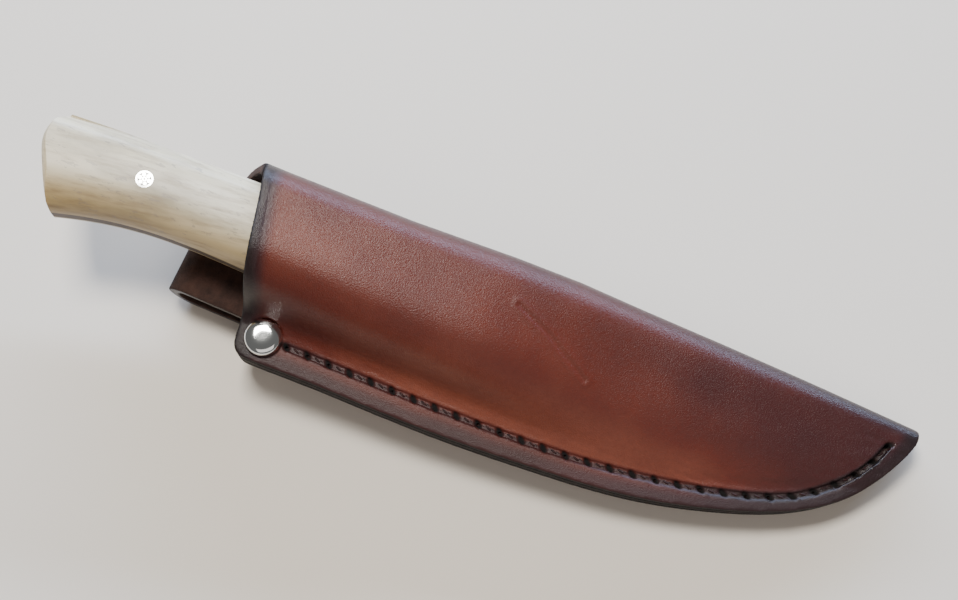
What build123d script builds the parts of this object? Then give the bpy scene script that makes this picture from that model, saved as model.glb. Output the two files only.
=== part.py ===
from build123d import *
import os
from math import cos, sin, radians, hypot, sqrt

# Whittling knife in its leather sheath, lying on its back on the belt loop. Millimetres, +Z up.
# +X runs from the butt of the handle to the tip of the sheath, +Y to the folded edge of the
# sheath, which holds the spine of the knife. The origin is under the middle of the whole thing.
# Lengths are measured from the tip of the sheath, so everything lies at negative x.

# ---------------------------------------------------------------- driving dimensions
tip_x = 108.2              # sheath tip in the part's frame
shift_y = 10.3             # knife datum line in the part's frame
leather = 2.8              # thickness of the leather
welt_thickness = 3.0       # spacer strip in the seam
lie_angle = 3.05           # the belt loop lifts the mouth end by this much
knife_angle = 2.9          # the knife slopes towards the back panel at its tip
knife_height = 4.85        # knife mid-plane above the back face, at the sheath tip

blade_thickness = 3.2
blade_tip_x = -17.0
blade_heel_x = -94.0       # where the ground blade begins
handle_front_x = -98.0
spine_y = 5.3
cutting_edge_y = -15.0
bevel_height = 8.0
bevel_depth = 1.5          # taken off each side at the cutting edge

pin_diameter = 4.0
pin_wall = 0.4
rod_diameter = 0.9
rod_circle = 1.1           # radius that the six rods stand on
core_diameter = 1.1
core_bore = 0.5

thread_diameter = 0.8
hole_diameter = 0.9
groove_width = 1.4
groove_depth = 0.9
stitch_pitch = 5.35

rivet_x, rivet_y = -151.2, -28.6
rivet_cap_diameter = 9.0
rivet_cap_rise = 2.6
rivet_post_diameter = 3.2
rivet_base_diameter = 8.4
rivet_base_rise = 1.3

strap_low_y, strap_high_y = -25.2, 4.2
strap_bend_x = -174.5      # the strap turns under here
strap_flat_end_x = -149.0  # it lies flat on the ground as far as this
strap_join_x = -128.0      # and meets the back panel here
strap_end_x = -108.5

lip_top_z = 19.0           # the slanted cut of the folded side starts at this height
lip_low_y = 3.6            # and reaches in this far over the back panel
lip_inside_x = -163.0      # the lip and the back panel beyond the mouth start in here
lip_high_y = 12.0
steep_side_shift = 0.95    # keeps the wall thick where the front panel is steep
flange_top = 2 * leather + welt_thickness

os.makedirs("parts", exist_ok=True)

# Planes: the sheath's back face, and the knife's mid-plane.
sheath_plane = Plane(
    origin=(tip_x, shift_y, 0),
    x_dir=(cos(radians(lie_angle)), 0, -sin(radians(lie_angle))),
    z_dir=(sin(radians(lie_angle)), 0, cos(radians(lie_angle))),
)
slope = lie_angle + knife_angle
knife_plane = Plane(
    origin=sheath_plane.from_local_coords((0, 0, knife_height)),
    x_dir=(cos(radians(slope)), 0, -sin(radians(slope))),
    z_dir=(sin(radians(slope)), 0, cos(radians(slope))),
)


def station(base, x):
    """Plane across a base plane at x, with its own x along Y and its own y upwards."""
    return Plane(origin=base.from_local_coords((x, 0, 0)), x_dir=base.y_dir, z_dir=base.x_dir)


def level(base, height):
    """Plane parallel to a base plane."""
    return base.offset(height)


# ---------------------------------------------------------------- sheath outlines, seen from above
mouth_fold = (-166.4, 9.0)         # mouth corner at the fold
mouth_middle = (-160.9, -11.0)
mouth_seam = (-157.4, -31.0)       # the mouth line ends here, before the rounded corner
seam_edge = [
    (-153.2, -34.6), (-140, -34.1), (-110, -33.5), (-80, -31.4), (-56, -28.2),
    (-39, -23.6), (-23, -17.2), (-12, -9.6), (-4.4, 0.6), (-0.6, 9.0),
]
stitch_line = [
    (-145.5, -28.4), (-120, -28.0), (-94, -27.1), (-72, -25.5), (-51, -22.2),
    (-36, -18.6), (-22, -12.8), (-11, -2.4), (-6.6, 6.4),
]
pocket_edge = [
    (-180, -25.2), (-120, -24.9), (-94, -24.1), (-72, -22.5), (-52, -19.4),
    (-38, -16.0), (-25, -10.8), (-15, -2.0), (-11.5, 9.0),
]

# Across the sheath: how far the front panel has risen above the seam flange, over the handle
# and over the blade, at fractions of the way from the flange to the folded edge.
front_rise = [
    (0.00, 0.00, 0.00), (0.06, 0.07, 0.14), (0.13, 0.38, 0.34), (0.23, 0.80, 0.54),
    (0.38, 0.995, 0.75), (0.60, 1.00, 0.91), (0.80, 0.965, 1.00),
]
handle_slope = -0.1        # over the handle the panel already falls here, before the fold
fold_fullness = 0.6        # how square the fold's upper side is
# Along the sheath: x, crown height, fold y, flange y, and the share of the handle's shape.
shell_stations = [
    (-186, 27.0, 8.3, -27.2, 1.0),
    (-160, 25.3, 9.0, -27.2, 1.0),
    (-130, 22.9, 10.3, -27.0, 1.0),
    (-104, 20.4, 12.4, -26.4, 1.0),
    (-88, 17.8, 13.4, -25.6, 0.6),
    (-72, 15.2, 13.6, -24.4, 0.25),
    (-50, 13.1, 13.8, -20.8, 0.0),
    (-30, 11.3, 13.8, -14.6, 0.0),
    (-15, 10.1, 13.6, -8.0, 0.0),
    (4, 8.9, 13.2, -1.0, 0.0),
]


def shell_points(crown, fold_y, flange_y, handle_share, inset):
    """Points of the front panel across one station, moved inwards by inset."""
    flange_y += steep_side_shift * handle_share * inset
    width = fold_y - inset - flange_y
    points = []
    for fraction, over_handle, over_blade in front_rise:
        rise = handle_share * over_handle + (1 - handle_share) * over_blade
        points.append((flange_y + fraction * width, flange_top - inset + rise * (crown - flange_top)))
    return points


fold_corner = 0.6          # roundness of the fold's lower side, as a share of its height
tip_end_x = -4.5
beyond_fold_y = 24
raw_height = 40
seam_limit_y = -48         # the raw shell runs out past the seam, to be trimmed to its outline

with BuildSketch(sheath_plane) as sheath_outline:
    with BuildLine():
        Polyline((tip_end_x, beyond_fold_y), (mouth_fold[0], beyond_fold_y), mouth_fold)
        Spline(mouth_fold, mouth_middle, mouth_seam)
        Spline(mouth_seam, seam_edge[0], tangents=((0.15, -1), (1, 0)))
        Spline(*seam_edge, tangents=((1, 0.02), (0.28, 1)))
        Spline(seam_edge[-1], (tip_end_x, 16), tangents=((0.28, 1), (-1, 0)))
        Line((tip_end_x, 16), (tip_end_x, beyond_fold_y))
    make_face()

with BuildSketch(level(sheath_plane, leather)) as welt_outline:
    add(sheath_outline.sketch_local)
    with BuildSketch(mode=Mode.PRIVATE) as pocket:
        with BuildLine():
            Spline(*pocket_edge)
            Polyline(pocket_edge[-1], (-11.5, 40), (-180, 40), pocket_edge[0])
        make_face()
    add(pocket.sketch_local, mode=Mode.SUBTRACT)
    # The welt stops short of the fold at the tip.
    with Locations((-6, beyond_fold_y + 0.2)):
        Rectangle(40, 30, mode=Mode.SUBTRACT)

# ---------------------------------------------------------------- stitches
with BuildLine() as stitch_path:
    Spline(*stitch_line)
stitch_wire = stitch_path.wire()
stitch_count = round(stitch_wire.length / stitch_pitch)
seam_points = [stitch_wire @ (i / stitch_count) for i in range(stitch_count + 1)]
seam_holes = [(p.X, p.Y) for p in seam_points]

# The belt loop is sewn down around a rectangle.
loop_corners = [(-125, -22), (-111, -22), (-111, 1), (-125, 1), (-125, -22)]
loop_pitch = 4.7
loop_holes = [loop_corners[0]]
for (xa, ya), (xb, yb) in zip(loop_corners, loop_corners[1:]):
    steps = round(hypot(xb - xa, yb - ya) / loop_pitch)
    for i in range(1, steps + 1):
        loop_holes.append((xa + (xb - xa) * i / steps, ya + (yb - ya) * i / steps))

# Each run of thread lies in a sunk groove on both faces and passes down through every hole.
stitched_seams = {
    "seam_thread": (seam_holes, 0, flange_top),
    "belt_loop_thread": (loop_holes, -leather, leather),
}
stitch_cuts = []
for name, (holes, low, high) in stitched_seams.items():
    laid_low, laid_high = low + groove_depth / 2, high - groove_depth / 2
    with BuildPart() as thread:
        with BuildSketch(level(sheath_plane, laid_low)):
            with Locations(*sorted(set(holes))):
                Circle(thread_diameter / 2)
        extrude(amount=laid_high - laid_low)
        for (xa, ya), (xb, yb) in zip(holes, holes[1:]):
            for height in (laid_low, laid_high):
                start = sheath_plane.from_local_coords((xa, ya, height))
                end = sheath_plane.from_local_coords((xb, yb, height))
                with BuildSketch(Plane(origin=start, z_dir=end - start)):
                    Circle(thread_diameter / 2)
                extrude(amount=(end - start).length)
    thread.part.label = name
    export_step(thread.part, f"parts/{name}.step")

    with BuildPart() as cut:
        with BuildSketch(level(sheath_plane, low - 1)):
            with Locations(*sorted(set(holes))):
                Circle(hole_diameter / 2)
        extrude(amount=high - low + 2)
        for floor, away in ((low + groove_depth, -1), (high - groove_depth, 1)):
            with BuildSketch(level(sheath_plane, floor)):
                with BuildLine():
                    Polyline(*holes)
                trace(line_width=groove_width)
            extrude(amount=3 * away)
    stitch_cuts.append(cut.part)

# ---------------------------------------------------------------- sheath
# The belt loop: a strap that runs on from the back panel, turns under and is sewn to the back.
back_y = (strap_low_y + strap_high_y) / 2
strap_plane = Plane(origin=(tip_x, shift_y + back_y, 0), x_dir=(1, 0, 0), z_dir=(0, -1, 0))


def below_back(x, depth):
    """Point of the strap plane under the back face at x, by depth."""
    point = sheath_plane.from_local_coords((x, back_y, -depth))
    return (point.X - tip_x, point.Z)


with BuildPart() as strap:
    with BuildSketch(strap_plane):
        with BuildLine():
            half = leather / 2
            bend_top = below_back(strap_bend_x, -half)
            bend_bottom = (bend_top[0] + 0.5, half)
            join = below_back(strap_join_x, half)
            Line(below_back(-160, -half), bend_top)
            RadiusArc(bend_top, bend_bottom, -(bend_top[1] - bend_bottom[1]) / 2 * 1.01)
            Polyline(bend_bottom, (strap_flat_end_x, half), join, below_back(strap_end_x, half))
        trace(line_width=leather)
    extrude(amount=(strap_high_y - strap_low_y) / 2, both=True)

shells = []
for inset in (0, leather):
    with BuildPart() as shell:
        for x, *shape in shell_stations:
            curve = shell_points(*shape, inset)
            with BuildSketch(station(sheath_plane, x)):
                with BuildLine():
                    crown, fold_y, _, handle_share = shape
                    fold_y, fold_z = fold_y - inset, crown / 2
                    top_y, top_z = curve[-1]
                    fall = handle_slope * handle_share
                    Spline(*curve)
                    reach = fold_fullness * (fold_y - top_y)
                    Bezier(
                        (top_y, top_z),
                        (top_y + reach, top_z + reach * fall),
                        (fold_y, fold_z + fold_fullness * (top_z - fold_z)),
                        (fold_y, fold_z),
                    )
                    corner = fold_corner * (fold_z - inset)
                    Bezier(
                        (fold_y, fold_z),
                        (fold_y, inset + 0.2 * corner),
                        (fold_y - 0.3 * corner, inset),
                        (fold_y - corner, inset),
                    )
                    Polyline(
                        (fold_y - corner, inset),
                        (seam_limit_y, inset),
                        (seam_limit_y, flange_top - inset),
                        curve[0],
                    )
                make_face()
        loft(ruled=True)
    shells.append(shell.part)
shell_outside, shell_inside = shells

lip_plane = Plane(
    origin=sheath_plane.origin, x_dir=sheath_plane.x_dir, z_dir=-sheath_plane.y_dir
)
with BuildPart() as folded_lip:
    with BuildSketch(level(lip_plane, -lip_high_y)):
        with BuildLine():
            Polyline(
                (lip_inside_x, lip_top_z), (mouth_fold[0], lip_top_z), (strap_bend_x, 0),
                (lip_inside_x, 0), (lip_inside_x, lip_top_z),
            )
        make_face()
    extrude(amount=lip_high_y - lip_low_y)
    add(shell_outside, mode=Mode.INTERSECT)

with BuildPart() as sheath_body:
    extrude(sheath_outline.sketch, amount=raw_height)
    add(shell_outside, mode=Mode.INTERSECT)
    # Back panel between the slanted mouth and the belt loop.
    with BuildSketch(sheath_plane):
        with BuildLine():
            Polyline(
                (lip_inside_x, 4), (strap_bend_x, strap_high_y), (strap_bend_x, strap_low_y),
                (-156.5, strap_low_y), (-154, -20), (lip_inside_x, 4),
            )
        make_face()
    extrude(amount=leather)
    # The mouth is cut aslant down the folded side, from the front panel to the belt loop.
    add(folded_lip.part)
    add(shell_inside, mode=Mode.SUBTRACT)
    add(strap.part)
    for cut_solid in stitch_cuts:
        add(cut_solid, mode=Mode.SUBTRACT)
    with BuildSketch(level(sheath_plane, -1)):
        with Locations((rivet_x, rivet_y)):
            Circle(rivet_post_diameter / 2)
    extrude(amount=flange_top + 2, mode=Mode.SUBTRACT)
    # The domed cap is set down into the leather.
    with BuildSketch(level(sheath_plane, flange_top)):
        with Locations((rivet_x, rivet_y)):
            Circle(rivet_cap_diameter / 2 + 0.1)
    extrude(amount=5, mode=Mode.SUBTRACT)
sheath_body.part.label = "sheath_body"
export_step(sheath_body.part, "parts/sheath_body.step")

with BuildPart() as welt:
    extrude(welt_outline.sketch, amount=welt_thickness)
    with BuildSketch(sheath_plane):
        with Locations(*seam_holes):
            Circle(hole_diameter / 2)
        with Locations((rivet_x, rivet_y)):
            Circle(rivet_post_diameter / 2)
    extrude(amount=flange_top, mode=Mode.SUBTRACT)
welt.part.label = "welt"
export_step(welt.part, "parts/welt.step")

# ---------------------------------------------------------------- rivet
with BuildPart() as rivet_cap:
    with BuildSketch(level(sheath_plane, 0)):
        with Locations((rivet_x, rivet_y)):
            Circle(rivet_post_diameter / 2)
    extrude(amount=flange_top)
    with BuildSketch(station(sheath_plane, rivet_x)):
        with BuildLine():
            Line((rivet_y, flange_top), (rivet_y + rivet_cap_diameter / 2, flange_top))
            Line(
                (rivet_y + rivet_cap_diameter / 2, flange_top),
                (rivet_y + rivet_cap_diameter / 2, flange_top + 0.5),
            )
            Spline(
                (rivet_y + rivet_cap_diameter / 2, flange_top + 0.5),
                (rivet_y, flange_top + rivet_cap_rise),
                tangents=((0, 1), (-1, 0)),
            )
            Line((rivet_y, flange_top + rivet_cap_rise), (rivet_y, flange_top))
        make_face()
    rivet_axis = Axis(
        sheath_plane.from_local_coords((rivet_x, rivet_y, 0)), sheath_plane.z_dir
    )
    revolve(axis=rivet_axis)
rivet_cap.part.label = "rivet_cap"
export_step(rivet_cap.part, "parts/rivet_cap.step")

with BuildPart() as rivet_base:
    with BuildSketch(sheath_plane):
        with Locations((rivet_x, rivet_y)):
            Circle(rivet_base_diameter / 2)
    extrude(amount=-rivet_base_rise)
    fillet(rivet_base.edges().group_by(Axis.Z)[0], radius=0.6)
rivet_base.part.label = "rivet_base"
export_step(rivet_base.part, "parts/rivet_base.step")

# ---------------------------------------------------------------- knife
# Across the handle: x, top y, bottom y and half thickness.
handle_stations = [
    (-98, 5.3, -16.2, 6.2),
    (-112, 5.3, -17.3, 7.0),
    (-130, 5.1, -17.5, 8.1),
    (-150, 4.6, -17.0, 8.9),
    (-170, 3.4, -16.7, 9.2),
    (-190, 2.3, -18.2, 9.2),
    (-206, 1.1, -22.2, 8.9),
    (-222, -0.4, -27.2, 8.5),
]
roundness = 2.7            # power of the oval that the handle is in section
butt_curve = [
    (-203, 12), (-209, 3), (-213, 0.2), (-215.4, -3.6), (-215.8, -7.5), (-213.8, -12.5),
    (-208.4, -21.2), (-200, -31),
]
butt_half = 9.2            # half thickness at the butt
butt_rounding = 3.5
butt_levels = (5.7, 7.2, 8.3, 9.0, 9.6)
blank_end_x = -90          # the blank that the butt is cut on reaches past the handle's front

with BuildPart() as butt_form:
    for height in [-h for h in reversed(butt_levels)] + list(butt_levels):
        rise = max(abs(height) - (butt_half - butt_rounding), 0)
        shift = butt_rounding - sqrt(max(butt_rounding**2 - rise**2, 0))
        with BuildSketch(level(knife_plane, height)):
            with BuildLine():
                cut = [(x + shift, y) for x, y in butt_curve]
                Spline(*cut)
                Polyline(cut[-1], (blank_end_x, cut[-1][1]), (blank_end_x, cut[0][1]), cut[0])
            make_face()
    loft(ruled=True)

with BuildPart() as handle_form:
    for x, top_y, bottom_y, half in handle_stations:
        middle, reach = (top_y + bottom_y) / 2, (top_y - bottom_y) / 2
        arch = []
        for share in (-0.97, -0.8, -0.45, 0, 0.45, 0.8, 0.97):
            rise = half * (1 - abs(share) ** roundness) ** (1 / roundness)
            arch.append((middle + share * reach, rise))
        with BuildSketch(station(knife_plane, x)):
            with BuildLine():
                Spline((bottom_y, 0), *arch, (top_y, 0), tangents=((0, 1), (0, -1)))
                below = [(y, -z) for y, z in arch]
                Spline((bottom_y, 0), *below, (top_y, 0), tangents=((0, -1), (0, 1)))
            make_face()
    loft()
    add(butt_form.part, mode=Mode.INTERSECT)

pins = {"rear_pin": (-189.6, -8.1), "front_pin": (-120.0, -6.0)}
pin_length = 28            # longer than the handle is thick, then cut flush with it

with BuildPart() as blade:
    # The ground blade and the short plain stretch behind it.
    with BuildSketch(level(knife_plane, -blade_thickness / 2)):
        with BuildLine():
            Polyline(
                (-60, spine_y),
                (handle_front_x - 4, spine_y),
                (handle_front_x - 4, cutting_edge_y + 1.4),
                (blade_heel_x - 1, cutting_edge_y + 1.4),
                (blade_heel_x, cutting_edge_y),
                (-52, cutting_edge_y),
            )
            Spline(
                (-52, cutting_edge_y), (-34, -11.2), (-22, -2.6), (blade_tip_x, 3.6),
                tangents=((1, 0), (0.5, 1)),
            )
            Spline(
                (blade_tip_x, 3.6), (-36, 5.0), (-60, spine_y), tangents=((-1, 0.1), (-1, 0))
            )
        make_face()
    extrude(amount=blade_thickness)
    for side in (1, -1):
        flat = blade.faces().sort_by(Axis((0, 0, 0), knife_plane.z_dir))[-1 if side > 0 else 0]
        ground = [
            edge for edge in flat.edges()
            if knife_plane.to_local_coords(edge @ 0.5).X > blade_heel_x
            and knife_plane.to_local_coords(edge @ 0.5).Y < 0
        ]
        chamfer(ground, length=bevel_height, length2=bevel_depth, reference=flat)
    # The full tang, as wide as the handle.
    with BuildPart(mode=Mode.PRIVATE) as tang:
        add(handle_form.part)
        split(bisect_by=level(knife_plane, blade_thickness / 2), keep=Keep.BOTTOM)
        split(bisect_by=level(knife_plane, -blade_thickness / 2), keep=Keep.TOP)
    add(tang.part)
    with BuildSketch(level(knife_plane, -pin_length / 2)):
        with Locations(*pins.values()):
            Circle(pin_diameter / 2)
    extrude(amount=pin_length, mode=Mode.SUBTRACT)
blade.part.label = "blade"
export_step(blade.part, "parts/blade.step")

for name, side in (("scale_front", 1), ("scale_back", -1)):
    with BuildPart() as scale:
        add(handle_form.part)
        split(
            bisect_by=level(knife_plane, side * blade_thickness / 2),
            keep=Keep.TOP if side > 0 else Keep.BOTTOM,
        )
        with BuildSketch(level(knife_plane, -pin_length / 2)):
            with Locations(*pins.values()):
                Circle(pin_diameter / 2)
        extrude(amount=pin_length, mode=Mode.SUBTRACT)
    scale.part.label = name
    export_step(scale.part, f"parts/{name}.step")

# Mosaic pins: an outer tube, six rods around a small tube, and resin in between.
for pin_name, (pin_x, pin_y) in pins.items():
    pin_plane = Plane(
        origin=knife_plane.from_local_coords((pin_x, pin_y, -pin_length / 2)),
        x_dir=knife_plane.x_dir,
        z_dir=knife_plane.z_dir,
    )
    with BuildSketch(pin_plane) as tube_ring:
        Circle(pin_diameter / 2)
        Circle(pin_diameter / 2 - pin_wall, mode=Mode.SUBTRACT)
    with BuildSketch(pin_plane) as rod_discs:
        with PolarLocations(rod_circle, 6):
            Circle(rod_diameter / 2)
    with BuildSketch(pin_plane) as core_ring:
        Circle(core_diameter / 2)
        Circle(core_bore / 2, mode=Mode.SUBTRACT)
    with BuildSketch(pin_plane) as resin_fill:
        Circle(pin_diameter / 2 - pin_wall)
        Circle(core_diameter / 2, mode=Mode.SUBTRACT)
        with PolarLocations(rod_circle, 6):
            Circle(rod_diameter / 2, mode=Mode.SUBTRACT)
        Circle(core_bore / 2)
    pieces = {"tube": tube_ring, "rods": rod_discs, "core": core_ring, "resin": resin_fill}
    for piece_name, profile in pieces.items():
        with BuildPart() as pin_piece:
            extrude(profile.sketch, amount=pin_length)
            add(handle_form.part, mode=Mode.INTERSECT)
        pin_piece.part.label = f"{pin_name}_{piece_name}"
        export_step(pin_piece.part, f"parts/{pin_name}_{piece_name}.step")
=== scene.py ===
import math
import bpy
import numpy as np
from mathutils import Matrix, Vector
from types import SimpleNamespace


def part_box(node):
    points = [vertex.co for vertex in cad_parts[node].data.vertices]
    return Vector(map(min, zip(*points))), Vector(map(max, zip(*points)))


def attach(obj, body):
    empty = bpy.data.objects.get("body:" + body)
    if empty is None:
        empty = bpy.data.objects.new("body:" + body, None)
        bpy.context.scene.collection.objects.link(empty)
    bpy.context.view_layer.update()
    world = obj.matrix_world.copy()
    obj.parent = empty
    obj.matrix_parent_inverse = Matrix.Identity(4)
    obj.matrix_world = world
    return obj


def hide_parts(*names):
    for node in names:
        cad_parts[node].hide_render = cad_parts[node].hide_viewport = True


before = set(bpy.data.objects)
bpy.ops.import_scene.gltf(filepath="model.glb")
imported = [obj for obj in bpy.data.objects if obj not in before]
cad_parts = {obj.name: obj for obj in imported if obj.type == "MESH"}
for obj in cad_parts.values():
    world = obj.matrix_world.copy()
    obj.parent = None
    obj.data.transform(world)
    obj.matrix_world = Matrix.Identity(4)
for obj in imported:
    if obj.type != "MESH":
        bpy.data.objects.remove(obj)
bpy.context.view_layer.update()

MM = 0.001
scene = bpy.context.scene

# ------------------------------------------------------------------ the part's own directions
# Lengths below are millimetres in the sheath's plane: x from the sheath's tip, y from the knife's
# datum line, z up from the back face. They repeat the driving dimensions of the CAD model.
LIE_ANGLE = math.radians(3.05)        # the belt loop lifts the mouth end by this much
FLANGE_TOP = 8.6                      # outer face of the leather along the seam
TIP_X = 108.2                         # the sheath's tip in the row's frame
RIVET_Y = -28.6

cap_low, cap_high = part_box("rivet_cap")
SHIFT_Y = (cap_low.y + cap_high.y) / 2 / MM - RIVET_Y
SHEATH_X = np.array([math.cos(LIE_ANGLE), 0, -math.sin(LIE_ANGLE)])
SHEATH_Y = np.array([0.0, 1.0, 0.0])
SHEATH_Z = np.array([math.sin(LIE_ANGLE), 0, math.cos(LIE_ANGLE)])
SHEATH_ORIGIN = np.array([TIP_X, SHIFT_Y, 0.0])


def from_sheath(points):
    """Sheath millimetres to row metres."""
    p = np.asarray(points, float)
    out = p[..., :1] * SHEATH_X + p[..., 1:2] * SHEATH_Y + p[..., 2:3] * SHEATH_Z
    return (out + SHEATH_ORIGIN) * MM


def to_sheath(points):
    """Row metres to sheath millimetres."""
    p = np.asarray(points, float) / MM - SHEATH_ORIGIN
    return np.stack([p @ SHEATH_X, p @ SHEATH_Y, p @ SHEATH_Z], -1)


# ------------------------------------------------------------------ curves and small maths
def smooth(low, high, value):
    """0 below low, 1 above high, and an even turn between them."""
    t = np.clip((value - low) / (high - low), 0, 1)
    return t * t * (3 - 2 * t)


def catmull(points, samples):
    """Smooth curve through points, as an array of samples."""
    p = np.asarray(points, float)
    p = np.vstack([2 * p[0] - p[1], p, 2 * p[-1] - p[-2]])
    t = np.linspace(0, len(p) - 3, samples)
    i = np.minimum(t.astype(int), len(p) - 4)
    f = (t - i)[:, None]
    a, b, c, d = p[i], p[i + 1], p[i + 2], p[i + 3]
    return 0.5 * (2 * b + (c - a) * f + (2 * a - 5 * b + 4 * c - d) * f**2
                  + (3 * b - a - 3 * c + d) * f**3)


def clamped_spline(points, start, end, samples):
    """Cubic spline through points with given end directions, by chord length."""
    p = np.asarray(points, float)
    s = np.concatenate([[0], np.cumsum(np.linalg.norm(np.diff(p, axis=0), axis=1))])
    h = np.diff(s)
    n = len(p)
    a, rhs = np.zeros((n, n)), np.zeros((n, 2))
    a[0, 0] = a[-1, -1] = 1
    rhs[0], rhs[-1] = start, end
    for i in range(1, n - 1):
        a[i, i - 1], a[i, i], a[i, i + 1] = h[i], 2 * (h[i - 1] + h[i]), h[i - 1]
        rhs[i] = 3 * (h[i] * (p[i] - p[i - 1]) / h[i - 1] + h[i - 1] * (p[i + 1] - p[i]) / h[i])
    m = np.linalg.solve(a, rhs)
    t = np.linspace(0, s[-1], samples)
    i = np.clip(np.searchsorted(s, t) - 1, 0, n - 2)
    f = ((t - s[i]) / h[i])[:, None]
    hh = h[i][:, None]
    return ((2 * f**3 - 3 * f**2 + 1) * p[i] + (f**3 - 2 * f**2 + f) * hh * m[i]
            + (-2 * f**3 + 3 * f**2) * p[i + 1] + (f**3 - f**2) * hh * m[i + 1])


def bezier(a, b, c, d, samples=80):
    """Cubic Bezier curve as an array of samples."""
    t = np.linspace(0, 1, samples)[:, None]
    a, b, c, d = (np.asarray(p, float) for p in (a, b, c, d))
    return (1 - t)**3 * a + 3 * (1 - t)**2 * t * b + 3 * (1 - t) * t**2 * c + t**3 * d


def value_noise(points, size, seed):
    """Smooth noise between -1 and 1 in three dimensions, with lumps of the given size."""
    p = np.asarray(points, float) / size + seed * 17.31
    cell = np.floor(p).astype(np.int64)
    f = p - cell
    f = f * f * (3 - 2 * f)
    total = np.zeros(len(p))
    for corner in range(8):
        off = np.array([corner & 1, corner >> 1 & 1, corner >> 2 & 1])
        c = cell + off
        key = (c[:, 0] * 374761393 + c[:, 1] * 668265263
               + c[:, 2] * 2147483647 + seed * 974711) & 0xFFFFFFFF
        key = ((key ^ (key >> 13)) * 1274126177) & 0xFFFFFFFF
        rand = ((key ^ (key >> 16)) & 0xFFFF) / 32767.5 - 1
        w = np.prod(np.where(off, f, 1 - f), axis=1)
        total += rand * w
    return total


def distance_to(curve, xy):
    """Distance in plan from each point to a curve given by its samples."""
    best = np.full(len(xy), 1e9)
    for a, b in zip(curve[:-1], curve[1:]):
        ab = b - a
        t = np.clip(((xy - a) @ ab) / (ab @ ab), 0, 1)
        best = np.minimum(best, np.linalg.norm(xy - a - t[:, None] * ab, axis=1))
    return best


# ------------------------------------------------------------------ the sheath's lines
SEAM_EDGE = [(-157.4, -31.0), (-156.3, -33.2), (-153.2, -34.6), (-140, -34.1), (-110, -33.5),
             (-80, -31.4), (-56, -28.2), (-39, -23.6), (-23, -17.2), (-12, -9.6), (-4.4, 0.6),
             (-0.6, 9.0)]
STITCH_LINE = [(-145.5, -28.4), (-120, -28.0), (-94, -27.1), (-72, -25.5), (-51, -22.2),
               (-36, -18.6), (-22, -12.8), (-11, -2.4), (-6.6, 6.4)]
STITCH_PITCH = 5.35
MOUTH_LINE = np.array([(-156.2, -40.0), (-157.4, -31.0), (-160.9, -11.0), (-166.4, 9.0),
                       (-168.4, 16.0)])
MOUTH_SLANT = 0.97                    # turns a distance along x into one square to the mouth
# Of the panel's width, how far out, and how far up over the handle and over the blade.
FRONT_RISE = [(0.00, 0.00, 0.00), (0.06, 0.07, 0.14), (0.13, 0.38, 0.34), (0.23, 0.80, 0.54),
              (0.38, 0.995, 0.75), (0.60, 1.00, 0.91), (0.80, 0.965, 1.00)]
HANDLE_SLOPE, FOLD_FULLNESS = -0.1, 0.6
# At x: the crown's height, the fold's y, the flange's y and the handle's share of the rise.
STATIONS = np.array([
    (-186, 27.0, 8.3, -27.2, 1.0), (-160, 25.3, 9.0, -27.2, 1.0), (-130, 22.9, 10.3, -27.0, 1.0),
    (-104, 20.4, 12.4, -26.4, 1.0), (-88, 17.8, 13.4, -25.6, 0.6), (-72, 15.2, 13.6, -24.4, 0.25),
    (-50, 13.1, 13.8, -20.8, 0.0), (-30, 11.3, 13.8, -14.6, 0.0), (-15, 10.1, 13.6, -8.0, 0.0),
    (4, 8.9, 13.2, -1.0, 0.0)])

seam_edge = catmull(SEAM_EDGE, 240)
stitch_line = catmull(STITCH_LINE, 600)


def station_at(x):
    """Crown, fold y, flange y and the handle's share at x."""
    return [np.interp(x, STATIONS[:, 0], STATIONS[:, k]) for k in range(1, 5)]


FIELD_STEP_X, FIELD_STEP_Y = 2.0, 0.25
FIELD_X = np.arange(-186.0, 4.1, FIELD_STEP_X)
FIELD_Y = np.arange(-30.0, 15.01, FIELD_STEP_Y)
FIELD_BLUR, FIELD_BLUR_REACH = 3.0, 6  # in rows


def build_front_field():
    """Height of the front panel's outer face over the plan, smoothed along the sheath."""
    field = np.zeros((len(FIELD_X), len(FIELD_Y)))
    for row, x in enumerate(FIELD_X):
        crown, fold_y, flange_y, share = station_at(x)
        width = fold_y - flange_y
        points = [(flange_y + f * width,
                   FLANGE_TOP + (share * a + (1 - share) * b) * (crown - FLANGE_TOP))
                  for f, a, b in FRONT_RISE]
        fall = HANDLE_SLOPE * share
        curve = clamped_spline(points, (1, 0.15), (1, fall), 260)
        y_top, z_top = points[-1]
        reach = FOLD_FULLNESS * (fold_y - y_top)
        fold = bezier((y_top, z_top), (y_top + reach, z_top + reach * fall),
                      (fold_y, crown / 2 + FOLD_FULLNESS * (z_top - crown / 2)), (fold_y, crown / 2))
        curve = np.vstack([curve, fold])
        field[row] = np.interp(FIELD_Y, curve[:, 0], curve[:, 1], left=FLANGE_TOP, right=crown / 2)
    rows = np.arange(-FIELD_BLUR_REACH, FIELD_BLUR_REACH + 1)
    kernel = np.exp(-0.5 * (rows / FIELD_BLUR) ** 2)
    kernel /= kernel.sum()
    before = 2 * field[0] - field[FIELD_BLUR_REACH:0:-1]
    after = 2 * field[-1] - field[-2:-2 - FIELD_BLUR_REACH:-1]
    padded = np.vstack([before, field, after])
    return np.stack([np.convolve(column, kernel, "valid") for column in padded.T], 1)


front_field = build_front_field()


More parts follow.
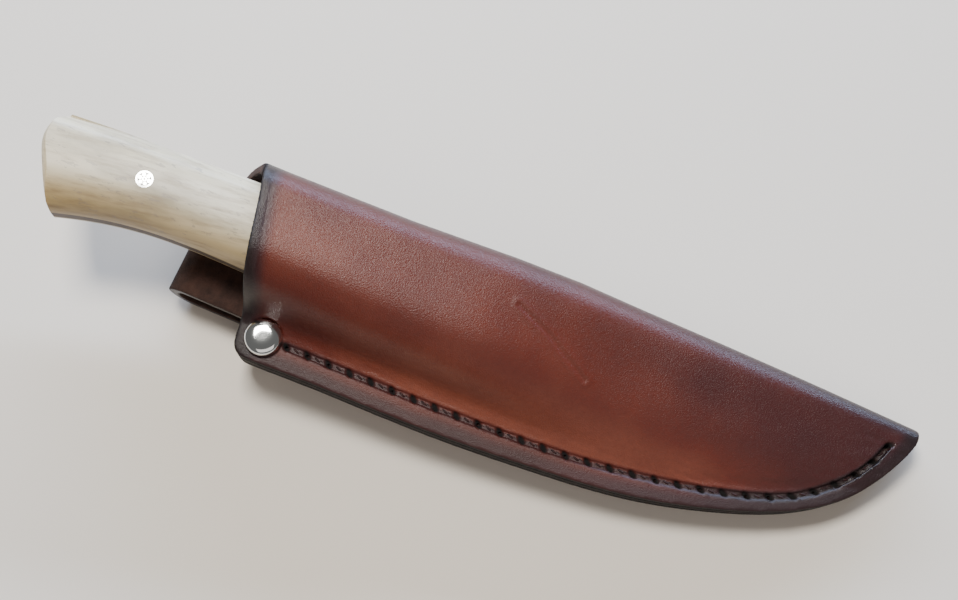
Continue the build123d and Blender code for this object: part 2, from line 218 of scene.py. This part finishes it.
def front_height(x, y):
    """Outer height of the front panel at plan points."""
    i = np.clip((x - FIELD_X[0]) / FIELD_STEP_X, 0, len(FIELD_X) - 1.001)
    j = np.clip((y - FIELD_Y[0]) / FIELD_STEP_Y, 0, len(FIELD_Y) - 1.001)
    i0, j0 = i.astype(int), j.astype(int)
    fi, fj = i - i0, j - j0
    f = front_field
    return ((f[i0, j0] * (1 - fj) + f[i0, j0 + 1] * fj) * (1 - fi)
            + (f[i0 + 1, j0] * (1 - fj) + f[i0 + 1, j0 + 1] * fj) * fi)


# ------------------------------------------------------------------ node helpers
def new_material(name):
    mat = bpy.data.materials.new(name)
    mat.use_nodes = True
    tree = mat.node_tree
    shader = next(n for n in tree.nodes if n.type == "BSDF_PRINCIPLED")
    return mat, tree, shader


def add_node(tree, kind, **settings):
    node = tree.nodes.new(kind)
    for key, value in settings.items():
        if key in node.inputs:
            node.inputs[key].default_value = value
        else:
            setattr(node, key, value)
    return node


def link(tree, a, b):
    tree.links.new(a, b)


def noise(tree, coords, scale, detail, roughness):
    node = add_node(tree, "ShaderNodeTexNoise", Scale=scale, Detail=detail, Roughness=roughness)
    link(tree, coords, node.inputs["Vector"])
    return node.outputs["Fac"]


def ramp(tree, value, stops):
    node = tree.nodes.new("ShaderNodeValToRGB")
    elements = node.color_ramp.elements
    while len(elements) < len(stops):
        elements.new(0.5)
    for element, (place, colour) in zip(elements, stops):
        element.position = place
        element.color = (*colour, 1)
    link(tree, value, node.inputs["Fac"])
    return node.outputs["Color"]


def mix(tree, factor, a, b, blend="MIX"):
    node = tree.nodes.new("ShaderNodeMix")
    node.data_type = "RGBA"
    node.blend_type = blend
    for socket, value in ((node.inputs[0], factor), (node.inputs[6], a), (node.inputs[7], b)):
        if hasattr(value, "is_linked"):
            link(tree, value, socket)
        elif isinstance(value, tuple):
            socket.default_value = (*value, 1)
        else:
            socket.default_value = value
    return node.outputs[2]


def map_range(tree, value, low, high):
    """0 at low and 1 at high."""
    node = add_node(tree, "ShaderNodeMapRange", **{"From Min": low, "From Max": high})
    link(tree, value, node.inputs["Value"])
    return node.outputs["Result"]


def maths(tree, operation, *values):
    node = tree.nodes.new("ShaderNodeMath")
    node.operation = operation
    for socket, value in zip(node.inputs, values):
        if hasattr(value, "is_linked"):
            link(tree, value, socket)
        else:
            socket.default_value = value
    return node.outputs[0]


def scaled(tree, value, factor):
    return maths(tree, "MULTIPLY", value, factor)


def attribute(tree, name):
    return add_node(tree, "ShaderNodeAttribute", attribute_name=name).outputs["Fac"]


def object_coords(tree):
    return tree.nodes.new("ShaderNodeTexCoord").outputs["Object"]


def mapped(tree, coords, turn=0, scale=(1, 1, 1)):
    """Coordinates turned by degrees about the vertical, then stretched."""
    node = add_node(tree, "ShaderNodeMapping", Rotation=(0, 0, math.radians(turn)), Scale=scale)
    link(tree, coords, node.inputs["Vector"])
    return node.outputs["Vector"]


def bump(tree, shader, height, strength, distance, chain=None):
    node = add_node(tree, "ShaderNodeBump", Strength=strength, Distance=distance)
    link(tree, height, node.inputs["Height"])
    if chain is not None:
        link(tree, chain, node.inputs["Normal"])
    link(tree, node.outputs["Normal"], shader.inputs["Normal"])
    return node.outputs["Normal"]


# ------------------------------------------------------------------ leather
def leather_material():
    """Antiqued, waxed leather: dyed and grained outside, with painted shade, sheen and highlight in
    the dye and painted shade in the awl slits; suede inside, burnished at its edges.
    """
    mat, tree, shader = new_material("sheath_leather")
    coords = object_coords(tree)
    dark, flesh, rim = (attribute(tree, n) for n in ("dark", "flesh", "rim"))
    flange, slit = attribute(tree, "flange"), attribute(tree, "slit")
    cloud = noise(tree, coords, 60, 5, 0.55)
    fine = noise(tree, coords, 900, 3, 0.6)
    uneven = scaled(tree, maths(tree, "SUBTRACT", cloud, 0.5), 0.3)
    # The dye ramp also carries the painted shade, sheen and highlight held in the dark attribute.
    dye_and_painted_light = ramp(tree, maths(tree, "ADD", dark, uneven), [
        (0.0, (0.230, 0.058, 0.030)), (0.3, (0.115, 0.018, 0.009)), (0.55, (0.055, 0.010, 0.009)),
        (0.8, (0.024, 0.007, 0.009)), (1.0, (0.010, 0.005, 0.006))])
    outside = mix(tree, scaled(tree, fine, 0.35), dye_and_painted_light, (0.03, 0.008, 0.006))
    inside = ramp(tree, noise(tree, coords, 260, 6, 0.7), [
        (0.3, (0.018, 0.008, 0.006)), (0.7, (0.062, 0.028, 0.020))])
    colour = mix(tree, flesh, outside, inside)
    colour = mix(tree, rim, colour, (0.010, 0.007, 0.008))
    # Painted shade: the awl slits are coloured near-black.
    colour = mix(tree, slit, colour, (0.004, 0.003, 0.003))
    link(tree, colour, shader.inputs["Base Color"])
    rough = 0.27
    for rougher, by in ((fine, 0.18), (flesh, 0.5), (flange, 0.10), (rim, 0.28), (slit, 0.5)):
        rough = maths(tree, "ADD", rough, scaled(tree, rougher, by))
    link(tree, rough, shader.inputs["Roughness"])
    shader.inputs["Specular IOR Level"].default_value = 0.38
    grain = add_node(tree, "ShaderNodeTexVoronoi", feature="SMOOTH_F1", Scale=3300)
    link(tree, coords, grain.inputs["Vector"])
    sparkle = noise(tree, coords, 4200, 2, 0.6)
    pebble = maths(tree, "ADD", grain.outputs["Distance"], scaled(tree, sparkle, 1.5))
    grained = bump(tree, shader, pebble, 0.30, 0.0002)
    hairs = noise(tree, coords, 1400, 6, 0.8)
    bump(tree, shader, maths(tree, "MULTIPLY", hairs, flesh), 0.5, 0.0006, grained)
    return mat


def voxel_copy(node, voxel, smoothing):
    """A fine, closed, evenly meshed copy of a CAD node with its edges softened."""
    obj = bpy.data.objects.new(node + "_work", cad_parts[node].data.copy())
    scene.collection.objects.link(obj)
    weld = obj.modifiers.new("weld", "WELD")
    weld.merge_threshold = 1e-6
    remesh = obj.modifiers.new("voxels", "REMESH")
    remesh.mode = "VOXEL"
    remesh.voxel_size = voxel * MM
    soften = obj.modifiers.new("soften", "SMOOTH")
    soften.factor = 0.5
    soften.iterations = smoothing
    graph = bpy.context.evaluated_depsgraph_get()
    result = bpy.data.meshes.new_from_object(obj.evaluated_get(graph))
    bpy.data.objects.remove(obj)
    return result


def read_points(mesh):
    co = np.empty(len(mesh.vertices) * 3)
    mesh.vertices.foreach_get("co", co)
    return co.reshape(-1, 3)


def read_normals(mesh):
    no = np.empty(len(mesh.vertices) * 3, dtype=np.float32)
    mesh.vertex_normals.foreach_get("vector", no)
    return no.reshape(-1, 3).astype(float)


def write_points(mesh, points):
    mesh.vertices.foreach_set("co", np.ascontiguousarray(points, dtype=np.float32).ravel())
    mesh.update()


def set_attribute(mesh, name, values):
    layer = mesh.attributes.new(name, "FLOAT", "POINT")
    layer.data.foreach_set("value", np.asarray(values, dtype=np.float32))


def add_piece(name, mesh, material, body, replaced):
    """A smooth-shaded piece in place of one CAD node."""
    mesh.materials.clear()
    mesh.materials.append(material)
    mesh.polygons.foreach_set("use_smooth", np.ones(len(mesh.polygons), dtype=bool))
    obj = bpy.data.objects.new(name, mesh)
    scene.collection.objects.link(obj)
    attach(obj, body)
    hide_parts(replaced)


def seam_holes():
    """Places of the awl holes along the stitch line, and the direction of the line at each."""
    steps = np.concatenate([[0], np.cumsum(np.linalg.norm(np.diff(stitch_line, axis=0), axis=1))])
    count = round(steps[-1] / STITCH_PITCH)
    at = np.linspace(0, steps[-1], count + 1)
    places = np.stack([np.interp(at, steps, stitch_line[:, k]) for k in (0, 1)], 1)
    along = np.gradient(places, axis=0)
    return places, along / np.linalg.norm(along, axis=1)[:, None]


holes, hole_along = seam_holes()
SLIT_TURN = math.radians(38)          # the awl's slits stand aslant to the line
SLIT_LENGTH, SLIT_WIDTH = 1.15, 0.62
SLIT_REACH = 2.5                      # beyond this far from its hole a slit is not felt


def slit_share(xy):
    """1 in the middle of a slit, 0 outside it."""
    best = np.zeros(len(xy))
    for place, along in zip(holes, hole_along):
        near = np.where(np.abs(xy - place).max(axis=1) < SLIT_REACH)[0]
        turn = np.array([along[0] * math.cos(SLIT_TURN) + along[1] * math.sin(SLIT_TURN),
                         along[1] * math.cos(SLIT_TURN) - along[0] * math.sin(SLIT_TURN)])
        d = xy[near] - place
        u, v = d @ turn, d @ np.array([-turn[1], turn[0]])
        from_middle = np.hypot(u / SLIT_LENGTH, v / SLIT_WIDTH)
        best[near] = np.maximum(best[near], smooth(1.25, 0.75, from_middle))
    return best


LEATHER_VOXEL, LEATHER_SOFTENING = 0.36, 5
GROOVE_DEPTH = 0.42                   # of the groove that the stitches lie in
SLIT_DEPTH = 0.55
LINE_INSET, LINE_WIDTH, LINE_DEPTH = 2.7, 0.35, 0.12      # the line pressed along the mouth
CREASE = np.array([(-99.0, 0.2), (-90.0, -3.2), (-84.0, -6.4), (-78.5, -9.2)])
CREASE_WIDTH, CREASE_DEPTH = 0.5, 0.12
LIP_OFFSET, LIP_WIDTH, LIP_HEIGHT = 1.1, 0.7, 0.10        # raised leather beside the crease
WRINKLE_HEIGHT, WAVE_HEIGHT = 0.055, 0.07


def bell(value, middle, width):
    return np.exp(-((value - middle) / width) ** 2)


def measure(p):
    """Where each point of the leather lies from the sheath's lines."""
    x, y, z = p.T
    xy = p[:, :2]
    _, fold_y, flange_y, _ = station_at(x)
    mouth = (x - np.interp(y, MOUTH_LINE[:, 1], MOUTH_LINE[:, 0])) * MOUTH_SLANT
    top = front_height(x, y)
    return SimpleNamespace(
        fold_y=fold_y, flange_y=flange_y, top=top, mouth=mouth,
        seam=distance_to(seam_edge[::3], xy), stitch=distance_to(stitch_line[::12], xy),
        crease=distance_to(CREASE, xy), over=smooth(-1.8, -0.5, z - top) * (mouth > -0.3))


def shape_leather(p, nz, at):
    """Settle and mark the leather by moving its points up and down; gives the slits' shares."""
    x, y, z = p.T
    # The front face settles on its smooth form, away from the seam and the fold.
    inland = smooth(2.2, 4.5, at.fold_y - y) * smooth(1.2, 3.0, y - at.flange_y)
    hold = smooth(0.25, 0.6, nz) * at.over * inland
    up = z + (at.top - z) * hold * smooth(0.8, 2.5, at.mouth)
    # Wrinkles beside the stitches, and slow waves over the whole front.
    wrinkle = value_noise(np.stack([x * 0.55, y * 2.4, z * 0.3], 1), 2.2, 3)
    wrinkle += 0.5 * value_noise(np.stack([x * 0.8, y * 3.2, z * 0.3], 1), 1.3, 5)
    near_stitch = smooth(0.6, 1.6, at.stitch) * smooth(9.0, 2.0, at.stitch)
    up += WRINKLE_HEIGHT * wrinkle * near_stitch * at.over * (y > at.flange_y - 1.0)
    up += WAVE_HEIGHT * value_noise(np.stack([x, y, z * 0.2], 1), 9.0, 11) * hold
    # The crease over the front end of the handle.
    up -= CREASE_DEPTH * bell(at.crease, 0, CREASE_WIDTH) * hold
    up += LIP_HEIGHT * bell(at.crease, LIP_OFFSET, LIP_WIDTH) * hold
    # The stitches' shallow groove, with an awl slit at every hole.
    groove = smooth(1.0, 0.6, at.stitch) * (z > FLANGE_TOP - 1.3) * (z < FLANGE_TOP + 0.2)
    up += groove * np.maximum(FLANGE_TOP - GROOVE_DEPTH - up, 0)
    slit = slit_share(p[:, :2]) * smooth(5.5, 7.0, z)
    up -= SLIT_DEPTH * slit
    up -= LINE_DEPTH * bell(at.mouth, LINE_INSET, LINE_WIDTH) * smooth(0.3, 0.7, nz) * at.over
    p[:, 2] = up
    return slit


def paint_leather(mesh, p, nz, at, slit):
    """Record where the dye is dark, where painted shade darkens it and painted sheen and highlight
    lighten it, where the flesh side shows and the edge is burnished.
    """
    x, y, z = p.T
    outside = np.maximum.reduce([
        smooth(-1.9, -0.9, z - at.top), smooth(-1.9, -1.1, y - at.fold_y), smooth(1.9, 0.9, z)])
    strap = np.clip(smooth(0.2, 0.8, -z) + smooth(0.6, -0.4, at.mouth), 0, 1)
    flesh = np.maximum(np.clip((1 - outside) * smooth(0.5, 2.0, at.mouth), 0, 1),
                       strap * smooth(0.0, 0.4, np.abs(nz)))
    seam_side = smooth(0.75, 0.35, np.abs(nz)) * smooth(2.2, 0.8, at.seam) * (at.mouth > -1)
    mouth_rim = smooth(1.0, 0.2, at.mouth) * smooth(-1.6, -0.4, at.mouth) * (z > 3.2)
    # Dark along the mouth, the tip, the fold, the seam and the stitches; a band beside the stitches
    # is lighter as a painted sheen, the lower slope by the mouth gets painted shade, and the crown
    # by the mouth a painted highlight.
    dark = 0.30 + 0.75 * smooth(6.0, 0.5, at.mouth) + 0.30 * smooth(-75, -12, x)
    dark += 0.38 * smooth(5, 0, at.fold_y - y) + 0.35 * smooth(4.5, 1.5, at.seam)
    dark += 0.12 * bell(x, -60, 40) * bell(y, 4, 7)
    # Painted sheen: a band of the lower slope beside the stitches is made lighter, as if catching
    # soft light.
    painted_sheen_band = smooth(13, 3, at.stitch) * (y > at.flange_y - 1)
    dark -= 0.26 * painted_sheen_band * smooth(-150, -105, x) * smooth(-20, -50, x)
    # Painted shade: the lower slope beside the mouth, facing away from the light, is made darker.
    dark += 0.14 * smooth(-130, -160, x) * smooth(-14, -22, y)
    # Painted highlight: the crown of the handle's bulge by the mouth is made lighter.
    dark -= 0.10 * bell(x, -150, 14) * bell(y, -9, 7)
    dark += 0.35 * smooth(1.6, 0.6, at.stitch) * (z > 5)
    set_attribute(mesh, "slit", slit)
    set_attribute(mesh, "dark", np.clip(dark, 0, 1))
    set_attribute(mesh, "flesh", np.clip(flesh, 0, 1))
    set_attribute(mesh, "rim", np.clip(np.maximum(seam_side, mouth_rim), 0, 1))
    set_attribute(mesh, "flange", smooth(1.0, -1.0, y - at.flange_y) * at.over)


def make_sheath():
    """The leather in place of the CAD's sheath body."""
    mesh = voxel_copy("sheath_body", LEATHER_VOXEL, LEATHER_SOFTENING)
    p = to_sheath(read_points(mesh))
    nz = read_normals(mesh) @ SHEATH_Z
    at = measure(p)
    slit = shape_leather(p, nz, at)
    write_points(mesh, from_sheath(p))
    paint_leather(mesh, p, nz, at, slit)
    add_piece("sheath_leather", mesh, leather_material(), "sheath", "sheath_body")


make_sheath()

# ------------------------------------------------------------------ seam thread
THREAD_SIDES = 10
PLY_RADIUS = 0.27
PLY_ORBIT_ACROSS, PLY_ORBIT_UP = 0.19, 0.17               # of each ply about the stitch's middle
TWISTS = 1.6                                              # in one stitch
STITCH_LEVEL = 0.62                                       # middle of a stitch inside either face
STITCH_DIP = 1.3                                          # into the holes at its ends
STITCH_SLANT = 0.22                                       # aside at its ends
STITCH_SAMPLES = 25
STITCH_START, STITCH_SHARE = 0.04, 0.92                   # of the way from hole to hole


def tube_mesh(name, paths, radius):
    """Round threads along paths of row-frame metres, closed at both ends."""
    verts, faces = [], []
    for path in paths:
        path = np.asarray(path)
        forward = np.gradient(path, axis=0)
        forward /= np.linalg.norm(forward, axis=1)[:, None]
        across = np.cross(forward, SHEATH_Z)
        across /= np.linalg.norm(across, axis=1)[:, None]
        up = np.cross(across, forward)
        first = len(verts)
        for c, a, b in zip(path, across, up):
            for k in range(THREAD_SIDES):
                t = 2 * math.pi * k / THREAD_SIDES
                verts.append(tuple(c + radius * (math.cos(t) * a + math.sin(t) * b)))
        for i in range(len(path) - 1):
            ring = first + i * THREAD_SIDES
            for k in range(THREAD_SIDES):
                p, q = ring + k, ring + (k + 1) % THREAD_SIDES
                faces.append((p, q, q + THREAD_SIDES, p + THREAD_SIDES))
        faces.append(tuple(range(first, first + THREAD_SIDES)))
        last = first + (len(path) - 1) * THREAD_SIDES
        faces.append(tuple(reversed(range(last, last + THREAD_SIDES))))
    mesh = bpy.data.meshes.new(name)
    mesh.from_pydata(verts, [], faces)
    mesh.update()
    return mesh


def thread_material():
    """Waxed two-ply thread."""
    mat, tree, shader = new_material("waxed_thread")
    coords = object_coords(tree)
    shade = noise(tree, coords, 1500, 3, 0.6)
    link(tree, ramp(tree, shade, [(0.3, (0.010, 0.004, 0.005)), (0.75, (0.045, 0.014, 0.013))]),
         shader.inputs["Base Color"])
    shader.inputs["Roughness"].default_value = 0.6
    shader.inputs["Specular IOR Level"].default_value = 0.25
    bump(tree, shader, shade, 0.3, 0.0002)
    return mat


waxed_thread = thread_material()


def make_seam_thread():
    """Two plies laid around each other for every stitch, above and underneath."""
    paths = []
    t = np.linspace(0, 1, STITCH_SAMPLES)
    dip = np.abs(2 * t - 1) ** 2.6
    for (a, b), along in zip(zip(holes[:-1], holes[1:]), hole_along):
        side = np.array([-along[1], along[0]])
        line = (a + (b - a) * (STITCH_START + STITCH_SHARE * t)[:, None]
                + side * (STITCH_SLANT * (1 - 2 * t))[:, None])
        for level, sign in ((FLANGE_TOP - STITCH_LEVEL, 1), (STITCH_LEVEL, -1)):
            for ply in (0, math.pi):
                turn = 2 * math.pi * TWISTS * t + ply
                y = line + side * (PLY_ORBIT_ACROSS * np.cos(turn))[:, None]
                z = level + PLY_ORBIT_UP * np.sin(turn) - sign * STITCH_DIP * dip
                paths.append(from_sheath(np.column_stack([y, z])))
    mesh = tube_mesh("seam_thread_plies", paths, PLY_RADIUS * MM)
    add_piece("seam_thread_plies", mesh, waxed_thread, "sheath", "seam_thread")


make_seam_thread()

# ------------------------------------------------------------------ plain materials for CAD nodes
def simple_material(name, colour, roughness, metallic=0.0, specular=0.5):
    mat, _, shader = new_material(name)
    shader.inputs["Base Color"].default_value = (*colour, 1)
    shader.inputs["Roughness"].default_value = roughness
    shader.inputs["Metallic"].default_value = metallic
    shader.inputs["Specular IOR Level"].default_value = specular
    return mat


def dress(material, *nodes):
    """Give CAD nodes a material in place of their own."""
    for node in nodes:
        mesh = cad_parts[node].data
        mesh.materials.clear()
        mesh.materials.append(material)


dress(simple_material("rivet_nickel", (0.80, 0.82, 0.82), 0.09, 1.0), "rivet_cap", "rivet_base")
dress(simple_material("pin_steel", (0.78, 0.78, 0.77), 0.2, 1.0),
      *[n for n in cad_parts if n.endswith(("_tube", "_rods", "_core"))])
dress(simple_material("pin_resin", (0.03, 0.028, 0.025), 0.2), "rear_pin_resin", "front_pin_resin")

TANG_END_X = 0.012                    # metres: the handle's front end, in the row's frame


def steel_material():
    """Satin blade with lengthwise grinding lines, and a dull brown tang where the handle is."""
    mat, tree, shader = new_material("blade_steel")
    coords = object_coords(tree)
    split = tree.nodes.new("ShaderNodeSeparateXYZ")
    link(tree, coords, split.inputs["Vector"])
    tang = map_range(tree, split.outputs["X"], TANG_END_X + 0.0005, TANG_END_X - 0.0005)
    lines = noise(tree, mapped(tree, coords, scale=(1, 0.03, 1)), 4000, 3, 0.6)
    steel = ramp(tree, lines, [(0.3, (0.48, 0.48, 0.49)), (0.7, (0.66, 0.66, 0.67))])
    link(tree, mix(tree, tang, steel, (0.085, 0.060, 0.044)), shader.inputs["Base Color"])
    link(tree, maths(tree, "SUBTRACT", 1.0, scaled(tree, tang, 0.6)), shader.inputs["Metallic"])
    link(tree, maths(tree, "ADD", 0.24, scaled(tree, tang, 0.3)), shader.inputs["Roughness"])
    bump(tree, shader, lines, 0.12, 0.00005)
    return mat


dress(steel_material(), "blade")
dress(simple_material("welt_leather", (0.006, 0.004, 0.005), 0.6, specular=0.15), "welt")
dress(waxed_thread, "belt_loop_thread")


def wood_material():
    """Pale close-grained wood, oiled: fine lines along the handle, greyish clouds and flecks, and
    painted shade towards the handle's lower side.
    """
    mat, tree, shader = new_material("handle_wood")
    coords = object_coords(tree)
    lengthwise = mapped(tree, mapped(tree, coords, turn=-9), scale=(0.09, 1, 1))
    figure = mapped(tree, coords, turn=-32, scale=(0.3, 1, 1))
    clouds = noise(tree, figure, 120, 4, 0.6)
    lines = noise(tree, lengthwise, 700, 5, 0.65)
    broad = noise(tree, lengthwise, 130, 3, 0.5)
    fleck = noise(tree, figure, 900, 3, 0.7)
    base = ramp(tree, broad, [(0.3, (0.68, 0.58, 0.38)), (0.7, (0.86, 0.80, 0.64))])
    greyed = mix(tree, scaled(tree, maths(tree, "SUBTRACT", clouds, 0.44), 3.0), base,
                 (0.36, 0.31, 0.22))
    lined = mix(tree, scaled(tree, maths(tree, "SUBTRACT", lines, 0.47), 2.8), greyed,
                (0.36, 0.28, 0.18))
    marks = scaled(tree, maths(tree, "GREATER_THAN", fleck, 0.62), 0.45)
    # Painted shade: the wood is multiplied towards a deeper gold on the handle's lower side, away
    # from the light.
    split = tree.nodes.new("ShaderNodeSeparateXYZ")
    link(tree, coords, split.inputs["Vector"])
    slant = maths(tree, "ADD", split.outputs["Y"], scaled(tree, split.outputs["X"], -0.05))
    painted_shade_lower_side = map_range(tree, slant, 0.013, -0.006)
    lined = mix(tree, painted_shade_lower_side, lined, (0.58, 0.46, 0.27), "MULTIPLY")
    link(tree, mix(tree, marks, lined, (0.26, 0.21, 0.17)), shader.inputs["Base Color"])
    link(tree, maths(tree, "ADD", 0.36, scaled(tree, lines, 0.16)), shader.inputs["Roughness"])
    shader.inputs["Coat Weight"].default_value = 0.15
    shader.inputs["Coat Roughness"].default_value = 0.3
    bump(tree, shader, lines, 0.08, 0.0002)
    return mat


dress(wood_material(), "scale_front", "scale_back")

# ------------------------------------------------------------------ floor, light and camera
bpy.ops.mesh.primitive_plane_add(size=3, location=(0, 0, 0))
floor = bpy.context.object
floor.name = "floor"
floor.data.materials.append(simple_material("floor", (0.82, 0.75, 0.66), 0.6))

PICTURE_TURN = math.radians(23.0)     # the object's long axis slopes down across the picture
PITCH = math.radians(15.0)            # the camera looks down, this far from vertical
CAMERA_DISTANCE = 0.320
LENS, SENSOR_WIDTH, NEAREST = 50.73, 36, 0.01
AIM_X, AIM_Z = 0.00035, 0.015         # metres: the point the camera looks at
picture_right = Vector((math.cos(PICTURE_TURN), math.sin(PICTURE_TURN), 0))
picture_up = Vector((-math.sin(PICTURE_TURN), math.cos(PICTURE_TURN), 0))
look = picture_up * math.sin(PITCH) - Vector((0, 0, math.cos(PITCH)))
aim = Vector((AIM_X, SHIFT_Y * MM, AIM_Z))
camera_data = bpy.data.cameras.new("camera")
camera_data.lens = LENS
camera_data.sensor_width = SENSOR_WIDTH
camera_data.clip_start = NEAREST
camera = bpy.data.objects.new("camera", camera_data)
scene.collection.objects.link(camera)
camera_up = picture_right.cross(look)
axes = Matrix((picture_right, camera_up, -look)).transposed()
camera.matrix_world = Matrix.Translation(aim - look * CAMERA_DISTANCE) @ axes.to_4x4()
scene.camera = camera


def area_light(name, place, size, power, colour):
    """Soft rectangular light aimed at the origin; its place is right, up and height, in metres."""
    right, up, height = place
    spot = picture_right * right + picture_up * up + Vector((0, 0, height))
    data = bpy.data.lights.new(name, "AREA")
    data.shape = "RECTANGLE"
    data.size, data.size_y = size
    data.energy = power
    data.color = colour
    light = bpy.data.objects.new(name, data)
    scene.collection.objects.link(light)
    facing = (-spot).to_track_quat("-Z", "Y").to_matrix().to_4x4()
    light.matrix_world = Matrix.Translation(spot) @ facing


area_light("window", (0.15, 0.92, 0.38), (1.9, 0.07), 32, (0.56, 0.72, 1.0))
area_light("ceiling", (-0.12, 0.38, 1.0), (0.38, 0.26), 13, (1.0, 0.97, 0.91))
area_light("room", (0.15, -0.75, 0.80), (1.3, 0.7), 3.0, (1.0, 0.91, 0.86))
world = bpy.data.worlds.new("studio")
world.use_nodes = True
background = world.node_tree.nodes["Background"]
background.inputs["Color"].default_value = (1, 0.98, 0.95, 1)
background.inputs["Strength"].default_value = 0.15
scene.world = world
